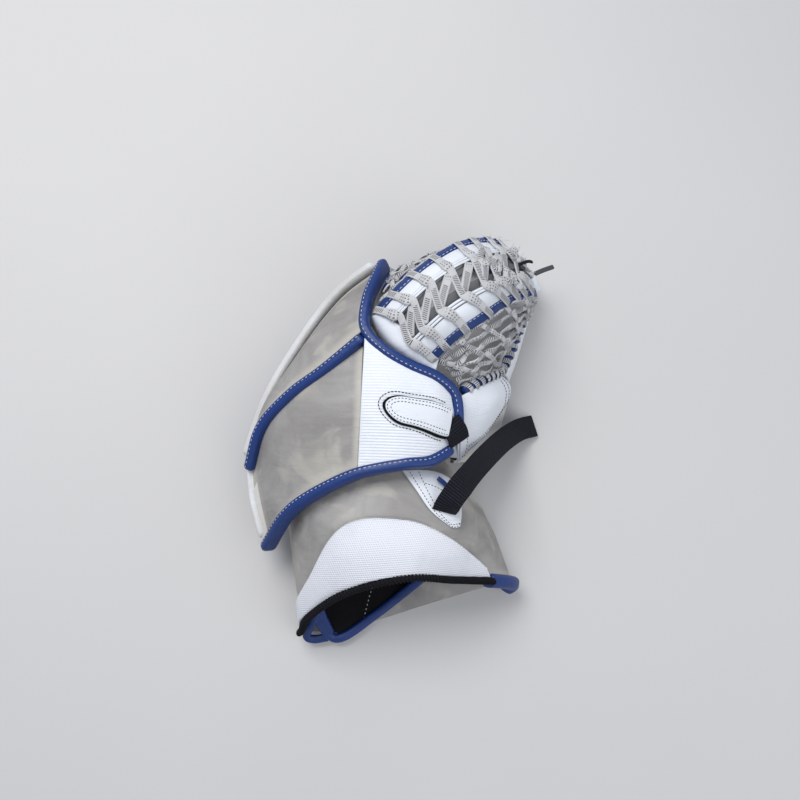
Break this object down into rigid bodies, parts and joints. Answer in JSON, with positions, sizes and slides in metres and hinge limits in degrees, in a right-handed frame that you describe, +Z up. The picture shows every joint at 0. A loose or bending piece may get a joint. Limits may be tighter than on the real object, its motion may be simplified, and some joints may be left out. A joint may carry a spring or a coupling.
{
  "type": "goalie catch glove",
  "caption": "Left-hand ice hockey goalie catch glove with padded back panels, blue-bound edges, a laced double-band pocket, a flared cuff, a wrist strap and a hand tab.",
  "frame": {"origin": "middle of the footprint box, on the floor that the glove lies on", "axes": "+Z up out of the back of the hand, +Y from the cuff mouth to the tip of the pocket, +X from the finger side to the thumb side"},
  "size_m": [0.3029, 0.3798, 0.1467],
  "materials": {
    "leather_grey": "worn light-grey leather, smudged",
    "leather_white": "white leather, satin",
    "leather_blue": "royal blue binding leather",
    "mesh_white": "white embossed mesh",
    "cloth_black": "black lining cloth",
    "webbing_black": "black nylon webbing and elastic",
    "foam_grey": "closed-cell foam",
    "board_white": "thin plastic stiffener",
    "lace": "waxed flat lace, pale with dark tracer",
    "tail_grey": "stiff dark lace end"
  },
  "bodies": {
    "hand": {"finger_guard_cover": "leather_grey", "finger_guard_foam": "foam_grey", "finger_guard_board": "board_white", "knuckle_cover": "leather_white", "knuckle_foam": "foam_grey", "knuckle_board": "board_white", "backhand_cover": "leather_grey", "backhand_foam": "foam_grey", "backhand_board": "board_white", "finger_guard_edge_roll": "leather_white", "backhand_edge_roll": "leather_white", "wrist_edge_binding": "leather_blue", "finger_seam_binding": "leather_blue", "pocket_rim_binding": "leather_blue", "finger_face_panel": "leather_white", "finger_side_wall": "leather_white", "palm_leather": "leather_grey", "palm_lining": "cloth_black", "web_wall": "leather_white", "finger_perimeter_roll": "leather_blue", "tee_band_finger_side": "leather_white", "tee_binding_finger_side": "leather_blue", "tee_piping_finger_side": "leather_white", "tee_band_thumb_side": "leather_white", "tee_binding_thumb_side": "leather_blue", "tee_piping_thumb_side": "leather_white", "tee_centre_lacing": "lace", "tip_bar": "leather_white", "tip_knot": "lace", "lace_tail": "tail_grey", "net_finger_side": "lace", "net_thumb_side": "lace", "stall_little": "cloth_black", "stall_ring": "cloth_black", "stall_middle": "cloth_black", "stall_index": "cloth_black", "tab_seat": "cloth_black", "tab_elastic": "webbing_black"},
    "thumb": {"thumb_cover": "leather_white", "thumb_foam": "foam_grey", "thumb_board": "board_white", "thumb_face_panel": "leather_white", "thumb_rim_board": "leather_white", "thumb_rim_binding": "leather_blue", "thumb_face_binding": "leather_blue", "thumb_stall": "cloth_black"},
    "cuff": {"cuff_cover": "leather_grey", "cuff_foam": "foam_grey", "cuff_board": "board_white", "cuff_pad": "mesh_white", "cuff_pad_binding": "cloth_black", "strap_patch": "leather_white", "cuff_palm_cover": "leather_grey", "cuff_palm_board": "board_white", "cuff_liner_palm": "cloth_black", "cuff_liner_back": "cloth_black", "liner_binding": "leather_blue", "cuff_flare_binding": "leather_blue"},
    "wrist_strap": {"wrist_strap": "webbing_black"},
    "hand_tab": {"hand_tab": "leather_white"}
  },
  "joints": [
    {"name": "thumb_close", "type": "hinge", "parent": "hand", "child": "thumb", "pos_m": [0.014, -0.0587, 0.075], "axis": [0.4825, 0.8525, -0.2011], "range_deg": [0, 20], "stiffness_Nm_per_rad": 3},
    {"name": "wrist_flex", "type": "hinge", "parent": "hand", "child": "cuff", "pos_m": [-0.014, -0.0267, 0.055], "axis": [1, 0, 0], "range_deg": [-6, 6], "stiffness_Nm_per_rad": 6},
    {"name": "strap_lift", "type": "hinge", "parent": "cuff", "child": "wrist_strap", "pos_m": [0.0405, -0.0715, 0.0965], "axis": [0.8627, 0.21, -0.4601], "range_deg": [0, 60]},
    {"name": "tab_lift", "type": "hinge", "parent": "hand", "child": "hand_tab", "pos_m": [0.043, 0.0078, 0.112], "axis": [0.1425, 0.9762, 0.1634], "range_deg": [0, 70], "deforming": ["tab_elastic"]}
  ]
}
